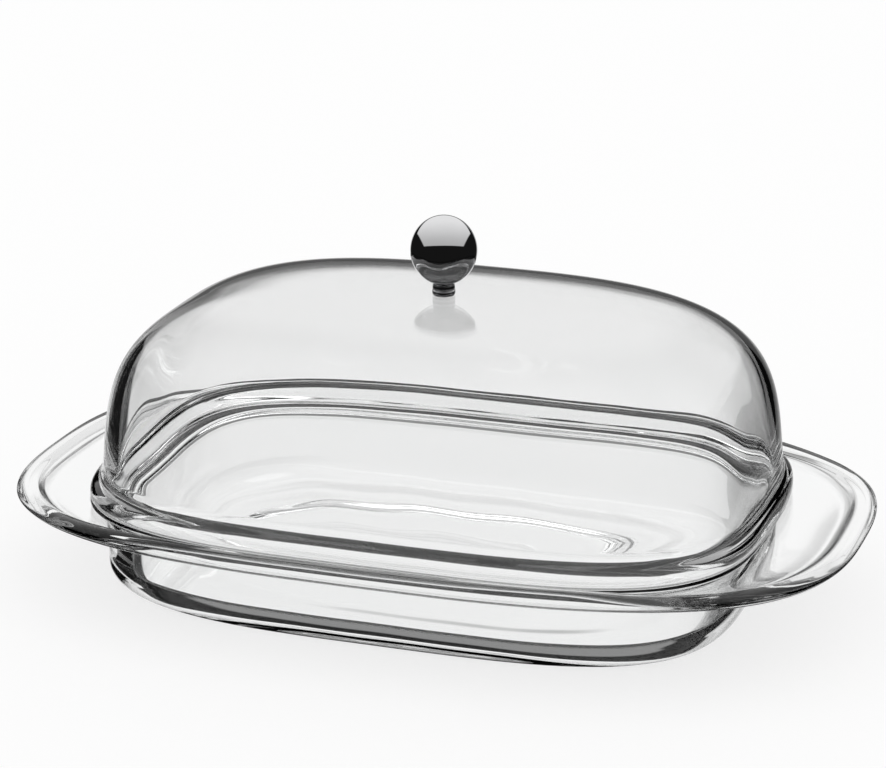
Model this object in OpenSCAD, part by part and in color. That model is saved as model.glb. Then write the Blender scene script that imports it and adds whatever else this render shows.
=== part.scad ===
// Butter dish: a pressed glass dish with hand-hold flange, and a glass lid with a metal knob.
// Millimetres. +Z is up, +X runs along the dish, and the origin is on the table under its middle.
// The glass pieces are lofts: a profile of rings carried round a rounded rectangular plan.

/* [Dish] */
// Overall length, across the two hand-holds
dish_l = 205; // [198:1:216]
// Overall width, across the narrow sides of the flange
dish_w = 129.4; // [128.4:0.2:138]
// Length of the basin, outside the glass
basin_l = 154; // [150:0.5:155]
// Width of the basin, outside the glass
basin_w = 105.6; // [103:0.2:106.4]
// Height of the flange's seat, where the lid stands
seat_z = 21.6; // [19:0.1:26]
// Thickness of the basin wall
wall_t = 3.6; // [3:0.1:4]
// Height of the floor's upper face above the table
floor_z = 3.4; // [2.8:0.1:4.5]
// Diameter of the rolled bead round the flange
bead_d = 4.6; // [4:0.1:5]
// Depth of the hollow inside the foot ring
foot_hollow = 0.6; // [0.4:0.1:1.2]

/* [Lid] */
// Length of the lid, across its rim
lid_l = 162.2; // [161.6:0.2:164]
// Width of the lid, across its rim
lid_w = 112.6; // [112:0.2:113.6]
// Height of the lid, from its seat to its crown
lid_h = 49.2; // [44:0.2:56]
// Thickness of the lid's glass at its sides
lid_t = 3; // [2.4:0.1:3.4]
// Thickness of the lid's glass at its crown
crown_t = 1.9; // [1.7:0.1:2.6]
// Height of the thick rim below the dome
rim_h = 8.5; // [7:0.1:10]
// How far the rim stands out from the dome, at the two ends
rim_out = 2; // [1.5:0.1:2.5]
// Squareness of the dome's section, where 2 is an ellipse
dome_square = 3.9; // [3.2:0.1:4.4]

/* [Knob] */
// Diameter of the ball
ball_d = 15.8; // [13:0.1:18]
// Height of the ball
ball_h = 16.7; // [14:0.1:19]
// Diameter of the collar under the ball
collar_d = 5.6; // [5:0.1:7]
// Height of the collar
collar_h = 2.7; // [2.4:0.1:4]
// Diameter of the threaded stud
stud_d = 2.5; // [2:0.1:3]

/* [Hidden] */

plan_steps = 96; // points round each ring of a loft
dome_steps = 12; // rings up each face of the dome
bead_steps = 10; // rings round the flange's bead
wall_steps = 5; // rings round each corner of a wall
neck_steps = 3; // rings round the fillet under the flange
cove_steps = 3; // rings round the cove beside the bead
turn_steps = 28; // points along the ball's turned profile
$fn = 72;

// Squareness of each plan outline, where 2 is an ellipse and a high value is a rectangle
foot_plan = 3.3;
basin_plan = 3.8;
rim_plan = 3.65;
shoulder_plan = 3.37;
crown_plan = 3.0;
flange_plan = 2.9;

basin_a = basin_l / 2;
basin_b = basin_w / 2;
inside_a = basin_a - wall_t;
inside_b = basin_b - wall_t;
base_r = 7.2; // height of the basin's outer lower corner
base_in = 7.8; // how far that corner carries the wall inwards, down to the foot ring
floor_r = 5; // radius of the corner between the wall and the floor
inside_draft = 0.6; // how far the inner wall leans in from its top to that corner
foot_a = basin_a - base_in;
foot_b = basin_b - base_in;
foot_w = 8; // width of the foot ring's flat face
hollow_ramp = 7; // width of the slope from the foot ring up into the hollow

flange_t = 2.6; // thickness of the flange inside its bead
flange_under = seat_z - flange_t;
flange_taper = 0.1; // rise of the flange's underside towards the bead
hold_from = 0.6; // where the hand-holds' lower bead starts, as a share of the basin's half length
hold_run = 0.5; // length of that change, as a share of the same
neck_out = 1.9; // width of the fillet between the wall and the flange
neck_h = 2.4; // height of that fillet
bead_r = bead_d / 2;
bead_a = dish_l / 2 - bead_r;
bead_b = dish_w / 2 - bead_r;
bead_rise = 1.2; // height of the middle of the bead above the seat
bead_z = seat_z + bead_rise;
bead_from = -105; // angle at which the bead leaves the flange's underside
bead_to = 140; // angle at which it meets the cove above
bead_spread = 1.6; // how much wider the bead's inner half is at the hand-holds
bead_low = 0.6; // height of the bead's top at the hand-holds, as a share of its height at the sides
cove_a = 4; // width of the cove inside the bead, at the hand-holds
cove_b = 1.5; // width of the cove along the sides
cove_h = bead_z + bead_r * sin(bead_to) - seat_z;
mouth_r = 1.4; // rounding of the edge between the seat and the basin

rest_gap = 0.05; // space left between the lid and its seat
lid_a = lid_l / 2;
lid_b = lid_w / 2;
lid_z = seat_z + rest_gap;
side_in = 0.7; // how much further in the shoulder lies along the sides than at the ends
crown_z = lid_z + lid_h;
shoulder_a = lid_a - rim_out;
shoulder_b = lid_b - rim_out - side_in;
shoulder_z = lid_z + rim_h;
dome_draft = 0.04; // share of its size that the dome loses from shoulder to crown
rim_edge = 1.2; // rounding of the rim's lower edges
rim_bevel = 0.3; // how near the middle of that rounding lies to each face, as a share of it
side_thin = 0.5; // how much further out the rim's inner face lies along the sides
rim_inner_a = shoulder_a - lid_t;
rim_inner_b = shoulder_b - lid_t + side_thin;
seat_edge = 0.6; // flat seat left outside the rim
dome_crowd = 1.4; // how strongly the dome's rings crowd towards its shoulder
crown_s = 88; // angle up the dome's section at which its flat crown starts
// Points up the rim's outer face: share of its height, share of the way in to the shoulder
flare = [[0.44, 0.02], [0.55, 0.13], [0.62, 0.27], [0.74, 0.71], [0.80, 0.84], [0.90, 0.95]];

bond_t = 0.2; // thickness of the adhesive
bond_in = 0.3; // how far the adhesive stays inside the collar's edge
collar_z = crown_z + bond_t;
ball_z = collar_z + collar_h;
stud_gap = 0.03; // radial space round the stud
collar_skin = 0.5; // metal left under the stud's hole
tier_share = 0.42; // height of each tier of the collar, as a share of the collar's height
groove_in = 0.6; // depth of the groove between the tiers
top_tier_in = 0.15; // how far the upper tier lies inside the lower one
stud_in_ball = 5.5; // length of the stud inside the ball
stud_below = 0.1; // space under the stud's lower end
stud_above = 0.4; // space over its upper end
ball_flat_in = 0.2; // how far the flat under the ball stays inside the collar's edge

// Distance from the middle to the plan outline, in the direction t
function plan_r(t, a, b, plan) =
    pow(pow(abs(cos(t)) / a, plan) + pow(abs(sin(t)) / b, plan), -1 / plan);

// Directions of a ring's points, spread evenly along a plan that is longer than it is wide
function plan_t(i) =
    let (u = 360 * i / plan_steps)
    atan2(basin_b * sin(u), basin_a * cos(u));

function mix(p, q, k) = p + (q - p) * k;

// A ring is [half length, half width, height, squareness of its plan, height at the hand-holds]
function ring(a, b, z, plan, end_z) = [a, b, z, plan, is_undef(end_z) ? z : end_z];

// How far a point at x is into a hand-hold: 0 along the sides and 1 at the ends
function hold(x) =
    let (k = max(0, min(1, (abs(x) / basin_a - hold_from) / hold_run)))
    k * k * (3 - 2 * k);

function ring_points(r) = [
    for (i = [0 : plan_steps - 1])
        let (t = plan_t(i), d = plan_r(t, r[0], r[1], r[3]), x = d * cos(t))
        [x, d * sin(t), mix(r[2], r[4], hold(x))]
];

// A closed solid through rings that run from the middle of its lower face,
// out round its edge and back to the middle of its upper face
module loft(rings) {
    last = len(rings) - 1;
    points = [for (r = rings) each ring_points(r)];
    lower = [for (i = [0 : plan_steps - 1]) i];
    upper = [for (i = [plan_steps - 1 : -1 : 0]) last * plan_steps + i];
    sides = [
        for (k = [0 : last - 1])
            for (i = [0 : plan_steps - 1])
                let (
                    j = (i + 1) % plan_steps,
                    p = k * plan_steps,
                    q = p + plan_steps
                )
                each [[p + i, q + i, p + j], [p + j, q + i, q + j]]
    ];
    polyhedron(points, concat([lower, upper], sides));
}

// Rings of the dish's underside, from the hollow in the foot out to the flange
function dish_underside() =
    let (
        hollow_a = foot_a - foot_w,
        hollow_b = foot_b - foot_w
    )
    concat(
        [
            ring(hollow_a - hollow_ramp, hollow_b - hollow_ramp, foot_hollow, foot_plan),
            ring(hollow_a, hollow_b, 0, foot_plan)
        ],
        [
            for (i = [0 : wall_steps])
                let (s = 90 * i / wall_steps, inset = base_in * (1 - sin(s)))
                ring(basin_a - inset, basin_b - inset, base_r * (1 - cos(s)),
                     mix(foot_plan, basin_plan, i / wall_steps))
        ],
        [
            for (i = [0 : neck_steps])
                let (s = 90 * i / neck_steps, out = neck_out * (1 - cos(s)))
                ring(basin_a + out, basin_b + out, flange_under - neck_h * (1 - sin(s)),
                     mix(basin_plan, rim_plan, i / neck_steps))
        ],
        [
            ring(mix(lid_a, bead_a, 0.5), mix(lid_b, bead_b, 0.5), flange_under + flange_taper,
                 mix(rim_plan, flange_plan, 0.5))
        ]
    );

// Height at the hand-holds of a point of the bead or its cove
function end_height(z) = z > seat_z ? mix(seat_z, z, bead_low) : z;

// Rings round the rolled bead, from its underside over its top
function dish_bead() = [
    for (i = [0 : bead_steps])
        let (
            s = mix(bead_from, bead_to, i / bead_steps),
            out = bead_r * cos(s),
            z = bead_z + bead_r * sin(s)
        )
        ring(bead_a + out * (s > 90 ? bead_spread : 1), bead_b + out, z, flange_plan, end_height(z))
];

// Rings of the dish's upper side, from the bead in over the seat and down into the basin
function dish_upper_side() =
    let (inner = bead_r * cos(bead_to))
    concat(
        [
            for (i = [1 : cove_steps])
                let (in = i / cove_steps, z = seat_z + cove_h * pow(1 - in, 2))
                ring(bead_a + inner * bead_spread - cove_a * in, bead_b + inner - cove_b * in,
                     z, flange_plan, end_height(z))
        ],
        [
            ring(lid_a + seat_edge, lid_b + seat_edge, seat_z, rim_plan)
        ],
        [
            for (i = [0 : wall_steps])
                let (s = 90 * i / wall_steps, out = mouth_r * (1 - sin(s)))
                ring(inside_a + out, inside_b + out, seat_z - mouth_r * (1 - cos(s)),
                     mix(rim_plan, basin_plan, i / wall_steps))
        ],
        [
            for (i = [0 : wall_steps])
                let (s = 90 * i / wall_steps, inset = inside_draft + floor_r * (1 - cos(s)))
                ring(inside_a - inset, inside_b - inset, floor_z + floor_r * (1 - sin(s)), basin_plan)
        ]
    );

module dish() {
    color([0.90, 0.92, 0.92, 0.4])
        loft(concat(dish_underside(), dish_bead(), dish_upper_side()));
}

// Rings up one face of the dome, from its shoulder to its crown: the outer face for inward = 0,
// and for inward = 1 the inner face, which lies the glass's thickness inside it
function dome(inward) = [
    for (i = [0 : dome_steps])
        let (
            s = crown_s * pow(i / dome_steps, dome_crowd),
            h = crown_z - shoulder_z,
            k = pow(cos(s), 2 / dome_square),
            v = pow(sin(s), 2 / dome_square) / pow(sin(crown_s), 2 / dome_square),
            depth = inward * mix(lid_t, crown_t, sin(s)),
            up = pow(v, dome_square - 1) / h,
            out_a = pow(k, dome_square - 1) / shoulder_a,
            out_b = pow(k, dome_square - 1) / shoulder_b,
            size_a = norm([out_a, up]),
            size_b = norm([out_b, up]),
            lean = 1 - dome_draft * v
        )
        ring(shoulder_a * k * lean - depth * out_a / size_a,
             shoulder_b * k * lean - depth * out_b / size_b,
             shoulder_z + h * v - depth * (up / size_a + up / size_b) / 2,
             mix(shoulder_plan, crown_plan, sin(s)))
];

function reversed(list) = [for (i = [len(list) - 1 : -1 : 0]) list[i]];

// Rings of the rim, from its inner face under its foot and up its outer face
function lid_rim() =
    concat(
        [
            ring(rim_inner_a, rim_inner_b, lid_z + rim_edge, rim_plan),
            ring(rim_inner_a + rim_edge * rim_bevel, rim_inner_b + rim_edge * rim_bevel, lid_z + rim_edge * rim_bevel, rim_plan),
            ring(rim_inner_a + rim_edge, rim_inner_b + rim_edge, lid_z, rim_plan),
            ring(lid_a - rim_edge, lid_b - rim_edge, lid_z, rim_plan),
            ring(lid_a - rim_edge * rim_bevel, lid_b - rim_edge * rim_bevel, lid_z + rim_edge * rim_bevel, rim_plan),
            ring(lid_a, lid_b, lid_z + rim_edge, rim_plan)
        ],
        [
            for (f = flare)
                ring(mix(lid_a, shoulder_a, f[1]), mix(lid_b, shoulder_b, f[1]), lid_z + rim_h * f[0],
                     mix(rim_plan, shoulder_plan, f[1]))
        ]
    );

module lid() {
    color([0.93, 0.94, 0.94, 0.35])
        loft(concat(reversed(dome(1)), lid_rim(), dome(0)));
}

module bond_disc() {
    color([0.95, 0.95, 0.90, 0.6])
        translate([0, 0, crown_z])
            cylinder(h = bond_t, d = collar_d - 2 * bond_in);
}

// Two tiers with a groove between them, and a blind hole for the stud from above
module knob_collar() {
    tier_h = collar_h * tier_share;
    groove_h = collar_h - 2 * tier_h;
    color([0.70, 0.71, 0.73])
        translate([0, 0, collar_z])
            difference() {
                union() {
                    cylinder(h = tier_h, d = collar_d);
                    cylinder(h = collar_h, d = collar_d - 2 * groove_in);
                    translate([0, 0, tier_h + groove_h])
                        cylinder(h = tier_h, d = collar_d - 2 * top_tier_in);
                }
                translate([0, 0, collar_skin])
                    cylinder(h = collar_h, d = stud_d + 2 * stud_gap);
            }
}

module knob_stud() {
    stud_z = collar_z + collar_skin + stud_below;
    color([0.55, 0.56, 0.58])
        translate([0, 0, stud_z])
            cylinder(h = ball_z + stud_in_ball - stud_z, d = stud_d);
}

// An oval ball with a small flat underneath and a blind hole for the stud
module knob_ball() {
    flat_s = asin((collar_d / 2 - ball_flat_in) / (ball_d / 2));
    middle = ball_h / 2 * cos(flat_s);
    profile = [
        for (i = [0 : turn_steps])
            let (s = mix(180 - flat_s, 0, i / turn_steps))
            [ball_d / 2 * sin(s), middle + ball_h / 2 * cos(s)]
    ];
    color([0.75, 0.76, 0.78])
        translate([0, 0, ball_z])
            difference() {
                rotate_extrude()
                    polygon(concat([[0, 0]], profile));
                translate([0, 0, -1])
                    cylinder(h = 1 + stud_in_ball + stud_above, d = stud_d + 2 * stud_gap);
            }
}

dish();
lid();
bond_disc();
knob_collar();
knob_stud();
knob_ball();
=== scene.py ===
"""Looks for the butter dish: smooth glass, a polished knob, and a small bright-field studio.

Everything is in metres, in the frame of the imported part: +Z up, +X along the dish, origin on
the table under its middle. Profiles are worked out in millimetres and multiplied by MM.
"""

import math

import bpy
import numpy as np
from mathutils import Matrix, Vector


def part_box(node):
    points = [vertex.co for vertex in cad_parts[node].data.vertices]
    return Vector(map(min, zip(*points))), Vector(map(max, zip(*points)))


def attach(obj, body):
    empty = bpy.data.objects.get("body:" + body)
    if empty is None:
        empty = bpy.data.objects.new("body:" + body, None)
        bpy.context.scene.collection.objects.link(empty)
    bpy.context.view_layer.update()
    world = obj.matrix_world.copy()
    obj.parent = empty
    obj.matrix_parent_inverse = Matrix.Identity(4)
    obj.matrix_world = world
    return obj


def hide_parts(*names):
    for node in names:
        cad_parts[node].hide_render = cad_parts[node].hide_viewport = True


MM = 0.001
TINY = 1e-6
WHITE = (1, 1, 1, 1)

# How finely the glass and metal are meshed
AROUND = 288
SMOOTHING_PASSES = 2
DOME_RINGS = 34
UNDERSIDE_SHARES = (0.03, 0.3, 0.6, 0.85, 0.95)
FLOOR_SHARES = (0.97, 0.85, 0.6, 0.3, 0.03)
KNOB_AROUND = 96
BALL_RINGS = 64
COLLAR_PASSES = 3

# Squareness of each plan outline: 2 is an ellipse, a high value is a rectangle
FOOT_PLAN = 3.3
BASIN_PLAN = 3.8
RIM_PLAN = 3.65
SHOULDER_PLAN = 3.37
CROWN_PLAN = 3.0
FLANGE_PLAN = 2.9

# Basin of the dish, in millimetres
BASIN_A = 77.0       # half length over the outer wall
BASIN_B = 52.8       # half width over the outer wall
WALL = 3.6
WALL_DRAFT = 0.6     # lean of the inner wall by the time it meets the floor's curve
MID_WALL_Z = 11.5    # a ring that keeps the outer wall upright
FLOOR_Z = 3.4
FLOOR_R = 5.0        # curve from the inner wall into the floor
BASE_IN = 7.8        # how far the foot stands in from the outer wall
BASE_R = 7.2         # height of the curve from the foot up to the wall
FOOT_W = 8.0
FOOT_HOLLOW = 0.6
HOLLOW_RAMP = 7.0

# Seat, flange and hand-holds, in millimetres
SEAT_Z = 21.6
SEAT_PAST = 0.6      # flat seat beyond the lid's rim
SEAT_UNDER = 2.0     # flat seat under the lid's rim
MOUTH_R = 1.4        # curve from the seat down into the basin
LIP_IN = 0.1
LIP_DROP = 3.0
FLANGE_T = 2.6
FLANGE_RISE = 0.1    # rise of the flange's underside half way out
NECK_DROP = 3.4      # where the outer wall ends, below the flange
NECK_OUT = 1.9
NECK_H = 2.4
BEAD_R = 2.3
BEAD_Z = 22.8
BEAD_FROM = -105     # degrees round the bead, 0 straight out and 90 up
BEAD_TO = 140
BEAD_SPREAD = 1.6    # stretch of the bead's inner side along the length
BEAD_LOW = 0.6       # height left above the seat at the hand-holds, as a share
COVE_A = 4.0         # run of the hollow inside the bead, along the length
COVE_B = 1.5         # and along the width
COVE_START = 0.12
HOLD_FROM = 0.6      # where a hand-hold starts, as a share of BASIN_A
HOLD_RUN = 0.5

# Lid, in millimetres
LID_SIDE_T = 3.0
LID_TOP_T = 1.9
RIM_H = 8.5
RIM_OUT = 2.0        # how far the rim stands out past the shoulder, along the length
RIM_OUT_MORE = 0.7   # and how much more along the width
DOME_SQUARE = 3.9    # squareness of the dome seen from the side
DOME_DRAFT = 0.04
DOME_CROWD = 1.4     # above 1, more rings near the shoulder
CROWN_LEAST_A = 1.0  # smallest ring, at the middle of the crown
CROWN_LEAST_B = 0.8

# Inside of the rim: out along the length, out along the width, height, share of RIM_PLAN
RIM_INSIDE = (
    (0.0, 0.1, 6.0, 0.5),
    (0.0, 0.3, 3.5, 1.0),
    (0.0, 0.5, 1.6, 1.0),
    (0.15, 0.65, 0.6, 1.0),
    (0.6, 1.1, 0.1, 1.0),
    (1.2, 1.7, 0.0, 1.0),
)
# Outer edge of the rim's foot: distance in from the outside, height
RIM_FOOT = (
    (1.5, 0.0),
    (0.8, 0.05),
    (0.2, 0.5),
    (0.0, 1.4),
)
# Outside of the rim up to the shoulder: share of RIM_H, share of the way in
RIM_FLARE = (
    (0.34, 0.0),
    (0.46, 0.03),
    (0.55, 0.13),
    (0.62, 0.27),
    (0.66, 0.42),
    (0.70, 0.57),
    (0.74, 0.71),
    (0.80, 0.84),
    (0.88, 0.93),
    (0.96, 0.985),
)

# Knob, in millimetres
BALL_NECK = 2.6      # radius where the ball ends, on the collar
BALL_NECK_IN = 0.5   # first point inside that flat, as a share of its radius
BALL_TOP = 0.02      # angle of the last ring from the top, in radians
# Two turned tiers with a groove between: share of the radius, share of the height
COLLAR_PROFILE = (
    (0.5, 0.0),
    (0.94, 0.0),
    (0.99, 0.08),
    (0.99, 0.34),
    (0.90, 0.40),
    (0.88, 0.46),
    (0.95, 0.50),
    (0.97, 0.62),
    (0.93, 0.80),
    (0.95, 0.93),
    (0.90, 1.0),
    (0.5, 1.0),
)

# Waves in the glass, in millimetres. The lid's are weaker above WAVE_FADE_Z and outside
DISH_WAVE = 0.05
DISH_WAVE_SEED = 1
LID_WAVE_LOW = 0.11
LID_WAVE_HIGH = 0.035
LID_WAVE_OUTSIDE = 0.35
LID_WAVE_SEED = 2
WAVE_FADE_Z = 30
WAVE_FADE_RUN = 12
WAVE_SHARES = (1.0, 0.6, 0.5)
PHASE_STEP = 1.7

# Colours
DISH_TINT = (0.975, 0.982, 0.98, 1)
LID_TINT = (0.98, 0.985, 0.984, 1)
CLEAREST = (0.995, 0.995, 0.995, 1)
BALL_COLOUR = (0.90, 0.90, 0.91, 1)
BALL_HAZE = 0.03
COLLAR_COLOUR = (0.62, 0.62, 0.63, 1)
COLLAR_HAZE = 0.08
# Thread colours: painted shade darkens the thread's grooves, and the crests are painted lighter
THREAD_GROOVE_SHADE = (0.3, 0.3, 0.31, 1)
THREAD_CREST_LIGHT = (0.5, 0.5, 0.52, 1)
ADHESIVE_DARK = (0.80, 0.80, 0.78, 1)
ADHESIVE_BRIGHT = (0.95, 0.95, 0.93, 1)

# Floor
FLOOR_HALF = 6.0
FLOOR_DROP = 0.0002  # keeps the floor's face clear of the foot's
FLOOR_GLOW = 0.78
FLOOR_GREY = (0.24, 0.24, 0.24, 1)

# Softbox. Its edges are places on the face of a mirror ball in front of the camera, from -1
# to 1 across and up. Each pair is where a soft edge starts and stops
BOX_FOOT = (0.06, 0.08)
BOX_LIMIT = (0.965, 0.975)
BOX_SIDE = (0.53, 0.57)
BOX_SPLAY = 0.5
BOX_HEIGHT = (0.0, 0.9)
BOX_STRENGTH = (0.46, 0.86)
# A rounder top edge, seen only by mirrored rays
BOX_CURVE = (0.835, 0.85)
BOX_CURVE_UP = 0.142
# What glass does to the softbox: all but its top is dimmer, and deep paths see a bright strip
DIM_EDGE = (0.80, 0.90)
DIM_GAIN = -0.5
STRIP_FOOT = (0.44, 0.52)
STRIP_TOP = (0.70, 0.78)
STRIP_GAIN = 3.0

# Wall behind the object. Its edges are slopes from the camera's axis, across and up
WALL_LEFT = (-0.42, -0.36)
WALL_RIGHT = (0.50, 0.53)
WALL_FOOT = (-0.31, -0.26)
WALL_TOP = (0.50, 0.56)
WALL_STRENGTH = (0.27, 0.95)    # on shallow and on deep paths
WALL_AHEAD = (0.0, 0.2)         # leaves out directions behind the camera
LEAST_AHEAD = 0.001             # keeps the slopes finite beside the camera
WALL_MIRRORED = 0.7             # share of its strength that mirrored rays see
# Its bright field, and the fade to the right of that
FIELD_RIGHT = (0.25, 0.26)
FIELD_TOP = (0.20, 0.23)
FIELD_TURN = (-0.03, 0.05)
FIELD_STRENGTH = (0.98, 0.88)   # below and above the turn
FADE_RUN = (0.26, 0.50)
FADE_STRENGTH = (0.75, 0.3)

# Light from below, and the least light there is
UNDER_EDGE = (-0.76, -0.68)
UNDER_STRENGTH = 0.25
LEAST_LIGHT = 0.008

# How many times a ray has passed into or out of glass
SHALLOW_PATH = (3.2, 3.6)
DEEP_PATH = (4.8, 5.2)

# Camera, as fitted to the picture's perspective
VIEW_AZIMUTH = 18.68
VIEW_ELEVATION = 18.19
VIEW_DISTANCE = 0.7132
VIEW_AIM = (-0.0002, 0.0, 0.0486)
VIEW_LENS = 121.9
SENSOR_WIDTH = 36.0

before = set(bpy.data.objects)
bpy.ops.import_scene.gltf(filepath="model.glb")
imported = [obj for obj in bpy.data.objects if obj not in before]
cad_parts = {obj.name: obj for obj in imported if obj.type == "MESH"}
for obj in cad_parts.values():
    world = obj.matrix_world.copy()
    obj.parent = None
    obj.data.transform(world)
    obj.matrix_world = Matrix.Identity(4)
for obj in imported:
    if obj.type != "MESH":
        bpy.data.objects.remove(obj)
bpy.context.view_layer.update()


# ---------------------------------------------------------------- meshes

def mix(p, q, k):
    return p + (q - p) * k


def arc(count, start, stop):
    """Angles in radians, evenly spread from start to stop in degrees."""
    return np.radians(np.linspace(start, stop, count))


def rounded(points, passes):
    """Corner cutting: it turns a profile into a smooth curve, as fire polishing does."""
    points = np.array(points, float)
    for _ in range(passes):
        cut = np.empty((2 * len(points) - 2, points.shape[1]))
        cut[0::2] = points[:-1] * 0.75 + points[1:] * 0.25
        cut[1::2] = points[:-1] * 0.25 + points[1:] * 0.75
        points = np.vstack([points[:1], cut, points[-1:]])
    return points


def closed_tube(name, layers, ends):
    """A closed smooth object through layers of points, with a middle point closing each end."""
    count = len(layers[0])
    last = (len(layers) - 1) * count
    first_end = last + count
    last_end = first_end + 1
    faces = []
    for i in range(count):
        j = (i + 1) % count
        faces.append((first_end, j, i))
        faces.append((last_end, last + i, last + j))
    for p in range(0, last, count):
        q = p + count
        for i in range(count):
            j = (i + 1) % count
            faces.append((p + i, p + j, q + j, q + i))
    verts = np.vstack([*layers, ends]) * MM
    mesh = bpy.data.meshes.new(name)
    mesh.from_pydata(verts.tolist(), [], faces)
    mesh.validate()
    mesh.polygons.foreach_set("use_smooth", [True] * len(mesh.polygons))
    mesh.update()
    return linked(name, mesh)


def linked(name, data):
    """A new object that holds data, in the scene."""
    made = bpy.data.objects.new(name, data)
    bpy.context.scene.collection.objects.link(made)
    return made


# ---------------------------------------------------------------- lofted glass

def ring(a, b, z, plan, end_z=None):
    """Half length, half width, height, plan squareness and height at the hand-holds, in mm."""
    return np.array([a, b, z, plan, z if end_z is None else end_z], float)


def plan_directions():
    u = np.linspace(0, 2 * np.pi, AROUND, endpoint=False)
    return np.arctan2(BASIN_B * np.sin(u), BASIN_A * np.cos(u))


def hold(x):
    """How far a point at x is into a hand-hold: 0 along the sides and towards 1 at the ends."""
    k = np.clip((np.abs(x) / BASIN_A - HOLD_FROM) / HOLD_RUN, 0, 1)
    return k * k * (3 - 2 * k)


def ring_points(r, t):
    a, b, z, plan, end_z = r
    across = np.abs(np.cos(t) / a) ** plan + np.abs(np.sin(t) / b) ** plan
    d = across ** (-1 / plan)
    x = d * np.cos(t)
    return np.stack([x, d * np.sin(t), mix(z, end_z, hold(x))], 1)


def ripple(points, amplitude, seed):
    """Slow waves of pressed glass, as a distance in millimetres for each point.

    Three waves of unlike length and direction are added. Each number that a coordinate is
    divided by is a wave's length along that axis over two pi, in millimetres.
    """
    x, y, z = points.T
    phase = PHASE_STEP * seed
    crossed = np.sin(x / 3.7 + z / 7.0 + phase) * np.cos(y / 4.4 - z / 9.0 + 0.6 * phase)
    slanted = np.sin(x / 8.0 - y / 6.3 + z / 6.5 + 2.1 * phase)
    level = np.cos(z / 4.3 + x / 13.0 + 0.4 * phase)
    waves = sum(share * wave for share, wave in zip(WAVE_SHARES, (crossed, slanted, level)))
    return amplitude * waves / sum(WAVE_SHARES)


def loft(name, rings, waviness):
    """A closed glass wall through rings. Waviness gives the waves of each one."""
    t = plan_directions()
    layers = []
    for k, r in enumerate(rings):
        points = ring_points(r, t)
        amplitude, seed = waviness(k / (len(rings) - 1), r[2])
        out = points[:, :2] / np.linalg.norm(points[:, :2], axis=1)[:, None]
        points[:, :2] += out * ripple(points, amplitude, seed)[:, None]
        layers.append(points)
    ends = np.array([[0, 0, rings[0][2]], [0, 0, rings[-1][2]]])
    return closed_tube(name, layers, ends)


# ---------------------------------------------------------------- dish

def panel(a, b, z, plan, shares):
    """Rings across a flat middle, at the given shares of its size."""
    return [ring(a * s, b * s, z, plan) for s in shares]


def foot_rings():
    """The hollow underside, the foot ring and the curve up to the outer wall."""
    foot_a, foot_b = BASIN_A - BASE_IN, BASIN_B - BASE_IN
    ramp_a, ramp_b = foot_a - FOOT_W - HOLLOW_RAMP, foot_b - FOOT_W - HOLLOW_RAMP
    rings = panel(ramp_a, ramp_b, FOOT_HOLLOW, FOOT_PLAN, UNDERSIDE_SHARES)
    for share in np.linspace(0, 1, 9):
        along = HOLLOW_RAMP * share
        z = FOOT_HOLLOW * (1 + math.cos(math.pi * share)) / 2
        rings.append(ring(ramp_a + along, ramp_b + along, z, FOOT_PLAN))
    for s in arc(12, 0, 90):
        inset = BASE_IN * (1 - math.sin(s))
        plan = mix(FOOT_PLAN, BASIN_PLAN, 2 * s / math.pi)
        rings.append(ring(BASIN_A - inset, BASIN_B - inset, BASE_R * (1 - math.cos(s)), plan))
    return rings


def neck_rings(bead_a, bead_b, lid_high):
    """The outer wall, its turn outwards and the underside of the flange."""
    underside = SEAT_Z - FLANGE_T
    rings = [
        ring(BASIN_A, BASIN_B, MID_WALL_Z, BASIN_PLAN),
        ring(BASIN_A, BASIN_B, underside - NECK_DROP, BASIN_PLAN),
    ]
    for s in arc(6, 0, 90):
        out = NECK_OUT * (1 - math.cos(s))
        z = underside - NECK_H * (1 - math.sin(s))
        plan = mix(BASIN_PLAN, RIM_PLAN, 2 * s / math.pi)
        rings.append(ring(BASIN_A + out, BASIN_B + out, z, plan))
    half_a, half_b = mix(lid_high.x, bead_a, 0.5), mix(lid_high.y, bead_b, 0.5)
    rings.append(ring(half_a, half_b, underside + FLANGE_RISE, mix(RIM_PLAN, FLANGE_PLAN, 0.5)))
    return rings


def end_height(z):
    """Height at the hand-holds of a point of the bead or its cove."""
    return mix(SEAT_Z, z, BEAD_LOW) if z > SEAT_Z else z


def bead_rings(bead_a, bead_b):
    """The rolled bead at the edge and the cove that runs down from it to the seat."""
    rings = []
    for s in arc(17, BEAD_FROM, BEAD_TO):
        out = BEAD_R * math.cos(s)
        spread = BEAD_SPREAD if out < 0 and s > 0 else 1
        z = BEAD_Z + BEAD_R * math.sin(s)
        rings.append(ring(bead_a + out * spread, bead_b + out, z, FLANGE_PLAN, end_height(z)))
    inner = BEAD_R * math.cos(math.radians(BEAD_TO))
    cove_h = BEAD_Z + BEAD_R * math.sin(math.radians(BEAD_TO)) - SEAT_Z
    for share in np.linspace(COVE_START, 1, 8):
        cove_a = bead_a + inner * BEAD_SPREAD - COVE_A * share
        cove_b = bead_b + inner - COVE_B * share
        z = SEAT_Z + cove_h * (1 - share) ** 2
        rings.append(ring(cove_a, cove_b, z, FLANGE_PLAN, end_height(z)))
    return rings


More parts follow.
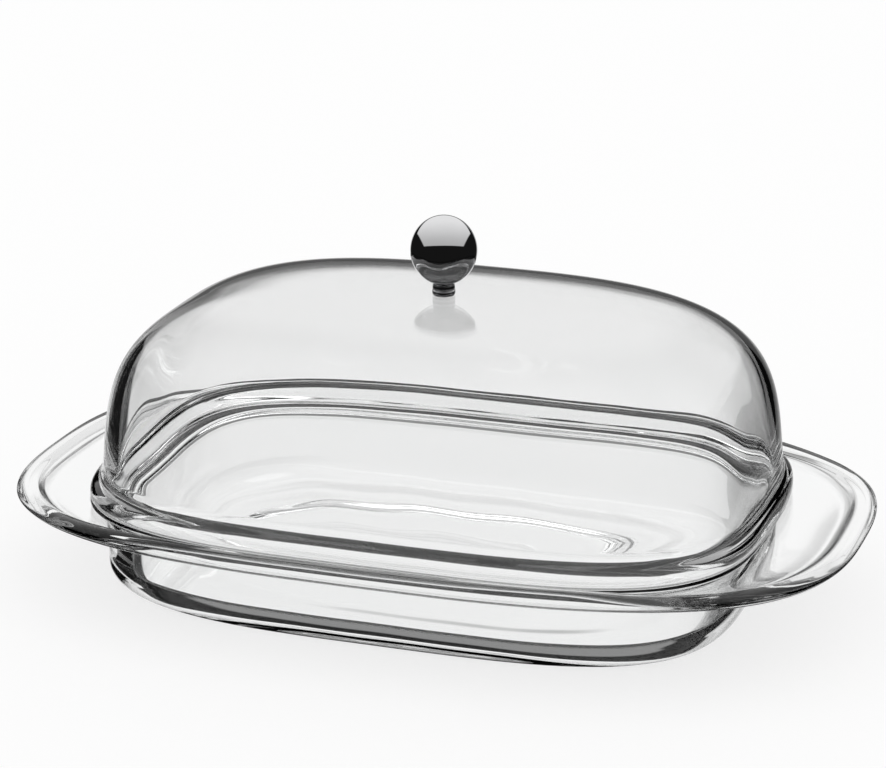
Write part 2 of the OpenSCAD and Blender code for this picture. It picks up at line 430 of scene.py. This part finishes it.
def basin_rings(lid_high):
    """The seat under the lid, the mouth, the inner wall and the floor."""
    inside_a, inside_b = BASIN_A - WALL, BASIN_B - WALL
    rings = [
        ring(lid_high.x + SEAT_PAST, lid_high.y + SEAT_PAST, SEAT_Z, RIM_PLAN),
        ring(lid_high.x - SEAT_UNDER, lid_high.y - SEAT_UNDER, SEAT_Z, RIM_PLAN),
    ]
    for s in arc(6, 0, 90):
        out = MOUTH_R * (1 - math.sin(s))
        z = SEAT_Z - MOUTH_R * (1 - math.cos(s))
        plan = mix(RIM_PLAN, BASIN_PLAN, 2 * s / math.pi)
        rings.append(ring(inside_a + out, inside_b + out, z, plan))
    rings.append(ring(inside_a - LIP_IN, inside_b - LIP_IN, SEAT_Z - LIP_DROP, BASIN_PLAN))
    for s in arc(12, 0, 90):
        inset = WALL_DRAFT + FLOOR_R * (1 - math.cos(s))
        z = FLOOR_Z + FLOOR_R * (1 - math.sin(s))
        rings.append(ring(inside_a - inset, inside_b - inset, z, BASIN_PLAN))
    floor_a, floor_b = inside_a - FLOOR_R - WALL_DRAFT, inside_b - FLOOR_R - WALL_DRAFT
    return rings + panel(floor_a, floor_b, FLOOR_Z, BASIN_PLAN, FLOOR_SHARES)


def dish_rings():
    """The dish's profile, from the middle of its underside round to the middle of its floor."""
    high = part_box("dish")[1] / MM
    bead_a, bead_b = high.x - BEAD_R, high.y - BEAD_R
    lid_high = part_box("lid")[1] / MM
    rings = foot_rings()
    rings += neck_rings(bead_a, bead_b, lid_high)
    rings += bead_rings(bead_a, bead_b)
    rings += basin_rings(lid_high)
    return rounded(rings, SMOOTHING_PASSES)


def dish_waves(share, height):
    """The same waves all over the dish."""
    return DISH_WAVE, DISH_WAVE_SEED


# ---------------------------------------------------------------- lid

def dome(a, b, z, top, inward):
    """Rings up one face of the dome. Inward is 0 for its outer face and 1 for its inner face."""
    rings = []
    height = top - z
    for share in np.linspace(0, 1, DOME_RINGS):
        s = math.radians(90) * share ** DOME_CROWD
        k = max(math.cos(s), TINY) ** (2 / DOME_SQUARE)
        v = math.sin(s) ** (2 / DOME_SQUARE)
        # The inner face is set in from the outer one, about square to it
        depth = inward * mix(LID_SIDE_T, LID_TOP_T, math.sin(s))
        side = k ** (DOME_SQUARE - 1)
        rise = v ** (DOME_SQUARE - 1) / height
        steep_a, steep_b = math.hypot(side / a, rise), math.hypot(side / b, rise)
        in_a, in_b = depth * side / a / steep_a, depth * side / b / steep_b
        down = depth * (rise / steep_a + rise / steep_b) / 2
        lean = 1 - DOME_DRAFT * v
        ring_a = max(a * k * lean - in_a, CROWN_LEAST_A)
        ring_b = max(b * k * lean - in_b, CROWN_LEAST_B)
        plan = mix(SHOULDER_PLAN, CROWN_PLAN, math.sin(s))
        rings.append(ring(ring_a, ring_b, mix(z, top, v) - down, plan))
    return rings


def lid_rings():
    """The lid's profile, from the middle of its inner face round its rim to its crown."""
    low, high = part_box("lid")
    low, high = low / MM, high / MM
    out_a, out_b = RIM_OUT, RIM_OUT + RIM_OUT_MORE
    shoulder_a, shoulder_b = high.x - out_a, high.y - out_b
    inner_a, inner_b = shoulder_a - LID_SIDE_T, shoulder_b - LID_SIDE_T
    shoulder_z = low.z + RIM_H
    rings = dome(shoulder_a, shoulder_b, shoulder_z, high.z, 1)[::-1]
    for along, across, height, share in RIM_INSIDE:
        plan = mix(SHOULDER_PLAN, RIM_PLAN, share)
        rings.append(ring(inner_a + along, inner_b + across, low.z + height, plan))
    for inset, height in RIM_FOOT:
        rings.append(ring(high.x - inset, high.y - inset, low.z + height, RIM_PLAN))
    for rise, share in RIM_FLARE:
        plan = mix(RIM_PLAN, SHOULDER_PLAN, share)
        rings.append(ring(high.x - out_a * share, high.y - out_b * share, low.z + RIM_H * rise, plan))
    rings += dome(shoulder_a, shoulder_b, shoulder_z, high.z, 0)
    return rounded(rings, SMOOTHING_PASSES)


def lid_waves(share, height):
    """Waves that fade towards the crown and are weaker on the outer face."""
    face = 1.0 if share < 0.5 else LID_WAVE_OUTSIDE
    low = 1 - min(max((height - WAVE_FADE_Z) / WAVE_FADE_RUN, 0), 1)
    return mix(LID_WAVE_HIGH, LID_WAVE_LOW, low) * face, LID_WAVE_SEED


# ---------------------------------------------------------------- turned knob

def turned(name, profile):
    """A closed solid of revolution through (radius, height) points in millimetres."""
    u = np.linspace(0, 2 * np.pi, KNOB_AROUND, endpoint=False)
    layers = []
    for radius, height in profile:
        level = np.full(KNOB_AROUND, height)
        layers.append(np.stack([radius * np.cos(u), radius * np.sin(u), level], 1))
    ends = np.array([[0, 0, profile[0][1]], [0, 0, profile[-1][1]]])
    return closed_tube(name, layers, ends)


def make_ball():
    """The ball is a little taller than it is wide and is cut flat where it meets the collar."""
    low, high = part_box("knob_ball")
    base, top, radius = low.z / MM, high.z / MM, high.x / MM
    flat = math.asin(BALL_NECK / radius)
    half_height = (top - base) / (1 + math.cos(flat))
    middle = top - half_height
    profile = [(BALL_NECK * BALL_NECK_IN, base)]
    for s in np.linspace(math.pi - flat, BALL_TOP, BALL_RINGS):
        profile.append((radius * math.sin(s), middle + half_height * math.cos(s)))
    return turned("knob_ball_polished", profile)


def make_collar():
    """Two turned tiers: a bead under the ball and a ring on the glass, with a groove between."""
    low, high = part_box("knob_collar")
    base, top, radius = low.z / MM, high.z / MM, high.x / MM
    points = [(radius * out, mix(base, top, up)) for out, up in COLLAR_PROFILE]
    return turned("knob_collar_turned", rounded(points, COLLAR_PASSES))


# ---------------------------------------------------------------- node helpers

class Graph:
    """A few short words for building a node tree."""

    def __init__(self, tree):
        self.tree = tree
        tree.nodes.clear()

    def node(self, kind, **settings):
        made = self.tree.nodes.new(kind)
        for key, value in settings.items():
            setattr(made, key, value)
        return made

    def put(self, socket, value):
        if isinstance(value, bpy.types.NodeSocket):
            self.tree.links.new(value, socket)
        else:
            socket.default_value = value

    def math(self, operation, a, b=0.0):
        made = self.node("ShaderNodeMath", operation=operation)
        self.put(made.inputs[0], a)
        self.put(made.inputs[1], b)
        return made.outputs[0]

    def times(self, first, *others):
        """The product of all the values."""
        for other in others:
            first = self.math("MULTIPLY", first, other)
        return first

    def most(self, first, *others):
        """The largest of all the values."""
        for other in others:
            first = self.math("MAXIMUM", first, other)
        return first

    def distance(self, a, b):
        """The distance of (a, b) from (0, 0)."""
        return self.math("SQRT", self.math("ADD", self.times(a, a), self.times(b, b)))

    def step(self, value, edge, low=0.0, high=1.0):
        """A smooth step of value, from low at the edge's start to high at its stop."""
        made = self.node("ShaderNodeMapRange", interpolation_type="SMOOTHSTEP")
        self.put(made.inputs["Value"], value)
        self.put(made.inputs["From Min"], edge[0])
        self.put(made.inputs["From Max"], edge[1])
        self.put(made.inputs["To Min"], low)
        self.put(made.inputs["To Max"], high)
        return made.outputs["Result"]

    def until(self, value, edge):
        """1 before the edge and 0 past it."""
        return self.step(value, edge, 1.0, 0.0)

    def position(self):
        return self.node("ShaderNodeNewGeometry").outputs["Position"]

    def noise(self, place, scale, detail):
        made = self.node("ShaderNodeTexNoise")
        self.put(made.inputs["Vector"], place)
        self.put(made.inputs["Scale"], scale)
        self.put(made.inputs["Detail"], detail)
        return made.outputs["Fac"]

    def bump(self, height, strength, distance):
        made = self.node("ShaderNodeBump")
        self.put(made.inputs["Height"], height)
        self.put(made.inputs["Strength"], strength)
        self.put(made.inputs["Distance"], distance)
        return made.outputs["Normal"]

    def blend(self, factor, a, b):
        made = self.node("ShaderNodeMix", data_type="RGBA")
        self.put(made.inputs[0], factor)
        self.put(made.inputs[6], a)
        self.put(made.inputs[7], b)
        return made.outputs[2]

    def principled(self, sockets):
        """One Principled shader, with its inputs given by name."""
        made = self.node("ShaderNodeBsdfPrincipled")
        for name, value in sockets.items():
            self.put(made.inputs[name], value)
        return made.outputs[0]

    def finish(self, kind, shader):
        """Join shader to a new output node of this kind."""
        output = self.node(kind)
        self.put(output.inputs["Surface"], shader)


def new_material(name):
    material = bpy.data.materials.new(name)
    material.use_nodes = True
    return material, Graph(material.node_tree)


# ---------------------------------------------------------------- materials

def glass(name, tint):
    """Clear pressed glass: faint colour, slow bump waves and a trace of surface haze."""
    material, g = new_material(name)
    place = g.position()
    waves = g.noise(place, scale=38.0, detail=2.0)
    fine = g.noise(place, scale=420.0, detail=3.0)
    g.finish("ShaderNodeOutputMaterial", g.principled({
        "Base Color": g.blend(waves, tint, CLEAREST),
        "Transmission Weight": 1.0,
        "IOR": 1.5,
        "Roughness": g.step(fine, (0.5, 0.9), low=0.0, high=0.012),
        "Normal": g.bump(waves, strength=1.0, distance=0.02 * MM),
    }))
    return material


def polished_metal(name, colour, haze):
    """Mirror-polished metal with a faint cloudy haze and hairline polishing marks."""
    material, g = new_material(name)
    place = g.position()
    cloud = g.noise(place, scale=300.0, detail=4.0)
    stretch = g.node("ShaderNodeMapping")
    g.put(stretch.inputs["Vector"], place)
    g.put(stretch.inputs["Scale"], (1, 1, 14))
    hairline = g.noise(stretch.outputs[0], scale=900.0, detail=2.0)
    darker = tuple(c * 0.93 for c in colour[:3]) + (1,)
    g.finish("ShaderNodeOutputMaterial", g.principled({
        "Base Color": g.blend(cloud, colour, darker),
        "Metallic": 1.0,
        "Roughness": g.step(cloud, (0.35, 0.8), low=haze * 0.4, high=haze),
        "Normal": g.bump(hairline, strength=0.04, distance=0.02 * MM),
    }))
    return material


def threaded_steel(name):
    """Plain steel with the rings of a cut thread in its bump, and painted shade in its colour: darker
    in the grooves and lighter on the crests.
    """
    material, g = new_material(name)
    thread = g.node("ShaderNodeTexWave", wave_type="BANDS", bands_direction="Z")
    g.put(thread.inputs["Vector"], g.position())
    g.put(thread.inputs["Scale"], 640.0)
    groove = thread.outputs["Fac"]
    g.finish("ShaderNodeOutputMaterial", g.principled({
        # Painted shade: the thread's bands also darken the colour in its grooves
        "Base Color": g.blend(groove, THREAD_GROOVE_SHADE, THREAD_CREST_LIGHT),
        "Metallic": 1.0,
        "Roughness": 0.35,
        "Normal": g.bump(groove, strength=0.6, distance=0.2 * MM),
    }))
    return material


def clear_adhesive(name):
    """Cured clear adhesive with a few soft clouds in it."""
    material, g = new_material(name)
    cloud = g.noise(g.position(), scale=900.0, detail=3.0)
    g.finish("ShaderNodeOutputMaterial", g.principled({
        "Base Color": g.blend(cloud, ADHESIVE_DARK, ADHESIVE_BRIGHT),
        "Transmission Weight": 0.8,
        "IOR": 1.46,
        "Roughness": g.step(cloud, (0.3, 0.8), low=0.05, high=0.2),
    }))
    return material


def floor_material():
    """Plain pale floor. Only the camera sees it: every other ray goes on to the studio."""
    material, g = new_material("pale_floor")
    path = g.node("ShaderNodeLightPath")
    glow = g.node("ShaderNodeEmission")
    g.put(glow.inputs["Color"], WHITE)
    g.put(glow.inputs["Strength"], FLOOR_GLOW)
    matt = g.node("ShaderNodeBsdfDiffuse")
    g.put(matt.inputs["Color"], FLOOR_GREY)
    seen = g.node("ShaderNodeAddShader")
    g.put(seen.inputs[0], glow.outputs[0])
    g.put(seen.inputs[1], matt.outputs[0])
    unseen = g.node("ShaderNodeBsdfTransparent")
    choose = g.node("ShaderNodeMixShader")
    g.put(choose.inputs[0], path.outputs["Is Camera Ray"])
    g.put(choose.inputs[1], unseen.outputs[0])
    g.put(choose.inputs[2], seen.outputs[0])
    g.finish("ShaderNodeOutputMaterial", choose.outputs[0])
    return material


# ---------------------------------------------------------------- studio

def make_floor():
    corners = ((-1, -1), (1, -1), (1, 1), (-1, 1))
    verts = [(FLOOR_HALF * x, FLOOR_HALF * y, -FLOOR_DROP) for x, y in corners]
    mesh = bpy.data.meshes.new("floor")
    mesh.from_pydata(verts, [], [(0, 1, 2, 3)])
    floor = linked("floor", mesh)
    dress(floor, floor_material())


def softbox_light(g, right, up, ahead, path):
    """The wide softbox above, placed by where a mirror ball would show this direction."""
    through = path["Is Transmission Ray"]
    doubled = g.math("SUBTRACT", 2.0, g.times(ahead, 2.0))
    length = g.math("SQRT", g.most(doubled, TINY))
    u = g.math("DIVIDE", right, length)
    v = g.math("DIVIDE", up, length)
    from_curve = g.distance(u, g.math("SUBTRACT", v, BOX_CURVE_UP))
    curved = g.most(g.until(from_curve, BOX_CURVE), through)
    side = g.math("SUBTRACT", g.math("ABSOLUTE", u), g.times(v, BOX_SPLAY))
    limit = g.until(g.distance(u, v), BOX_LIMIT)
    window = g.times(g.step(v, BOX_FOOT), curved, limit, g.until(side, BOX_SIDE))
    dimmed = g.times(g.step(v, DIM_EDGE, DIM_GAIN, 0.0), through)
    strip = g.times(g.step(v, STRIP_FOOT), g.until(v, STRIP_TOP))
    strip = g.times(strip, g.step(path["Transmission Depth"], DEEP_PATH, 0.0, STRIP_GAIN), through)
    gain = g.math("ADD", g.math("ADD", 1.0, dimmed), strip)
    return g.times(window, g.step(v, BOX_HEIGHT, *BOX_STRENGTH), gain)


def wall_light(g, right, up, ahead, path):
    """The wall behind the object: a bright field, its fade to the right and a dim surround."""
    front = g.most(ahead, LEAST_AHEAD)
    across = g.math("DIVIDE", right, front)
    rise = g.math("DIVIDE", up, front)
    field = g.times(g.until(across, FIELD_RIGHT), g.until(rise, FIELD_TOP))
    field = g.times(field, g.step(rise, FIELD_TURN, *FIELD_STRENGTH))
    fade = g.times(g.step(across, FADE_RUN, *FADE_STRENGTH), g.until(across, WALL_RIGHT))
    fade = g.times(fade, g.until(rise, FIELD_TOP))
    wall = g.times(g.until(rise, WALL_TOP), g.until(across, WALL_RIGHT))
    wall = g.times(wall, g.step(path["Transmission Depth"], DEEP_PATH, *WALL_STRENGTH))
    edges = g.times(g.step(across, WALL_LEFT), g.step(rise, WALL_FOOT), g.step(ahead, WALL_AHEAD))
    share = g.step(path["Is Transmission Ray"], (0.0, 1.0), WALL_MIRRORED, 1.0)
    return g.times(g.most(field, fade, wall), edges, share)


def light_from_below(g, up, path):
    """Seen only through glass, and only by rays on a shallow path."""
    shallow = g.until(path["Transmission Depth"], SHALLOW_PATH)
    return g.times(g.step(up, UNDER_EDGE, UNDER_STRENGTH, 0.0), path["Is Transmission Ray"], shallow)


def make_world():
    """A bright field that is fixed to the camera, dark at the sides.

    It is a stand-in for a studio and not a physical one. Mirrored rays and rays through glass
    see different light, and so do rays that have passed through glass many times. Rays from
    the camera and from matt surfaces see plain white.
    """
    world = bpy.data.worlds.new("studio")
    bpy.context.scene.world = world
    world.use_nodes = True
    g = Graph(world.node_tree)
    split = g.node("ShaderNodeSeparateXYZ")
    g.put(split.inputs[0], g.node("ShaderNodeTexCoord").outputs["Camera"])
    right, up, ahead = split.outputs
    path = g.node("ShaderNodeLightPath").outputs
    softbox = softbox_light(g, right, up, ahead, path)
    wall = wall_light(g, right, up, ahead, path)
    below = light_from_below(g, up, path)
    white = g.most(path["Is Camera Ray"], path["Is Diffuse Ray"])
    background = g.node("ShaderNodeBackground")
    g.put(background.inputs["Color"], WHITE)
    g.put(background.inputs["Strength"], g.most(softbox, wall, below, LEAST_LIGHT, white))
    g.finish("ShaderNodeOutputWorld", background.outputs[0])


def make_camera():
    azimuth, elevation = math.radians(VIEW_AZIMUTH), math.radians(VIEW_ELEVATION)
    forward = np.array([
        -math.sin(azimuth) * math.cos(elevation),
        math.cos(azimuth) * math.cos(elevation),
        -math.sin(elevation),
    ])
    data = bpy.data.cameras.new("camera")
    data.lens = VIEW_LENS
    data.sensor_width = SENSOR_WIDTH
    data.clip_start = 0.01
    data.clip_end = 50.0
    camera = linked("camera", data)
    camera.location = np.array(VIEW_AIM) - forward * VIEW_DISTANCE
    camera.rotation_euler = (math.pi / 2 - elevation, 0, azimuth)
    bpy.context.scene.camera = camera


def render_look():
    scene = bpy.context.scene
    scene.view_settings.view_transform = "Standard"
    scene.cycles.max_bounces = 24
    scene.cycles.transmission_bounces = 24
    scene.cycles.glossy_bounces = 12
    scene.cycles.use_denoising = True


# ---------------------------------------------------------------- assembly

def dress(obj, material):
    obj.data.materials.clear()
    obj.data.materials.append(material)


def stand_in(piece, material, body, node):
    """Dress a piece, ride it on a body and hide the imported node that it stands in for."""
    dress(piece, material)
    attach(piece, body)
    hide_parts(node)


dish = loft("dish_glass_shell", dish_rings(), dish_waves)
stand_in(dish, glass("dish_glass", DISH_TINT), "dish", "dish")

lid = loft("lid_glass_dome", lid_rings(), lid_waves)
stand_in(lid, glass("lid_glass", LID_TINT), "lid", "lid")

ball_metal = polished_metal("ball_chrome", BALL_COLOUR, BALL_HAZE)
stand_in(make_ball(), ball_metal, "lid", "knob_ball")

collar_metal = polished_metal("collar_chrome", COLLAR_COLOUR, COLLAR_HAZE)
stand_in(make_collar(), collar_metal, "lid", "knob_collar")

dress(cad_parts["knob_stud"], threaded_steel("stud_steel"))
dress(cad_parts["bond_disc"], clear_adhesive("clear_adhesive"))

make_floor()
make_world()
make_camera()
render_look()
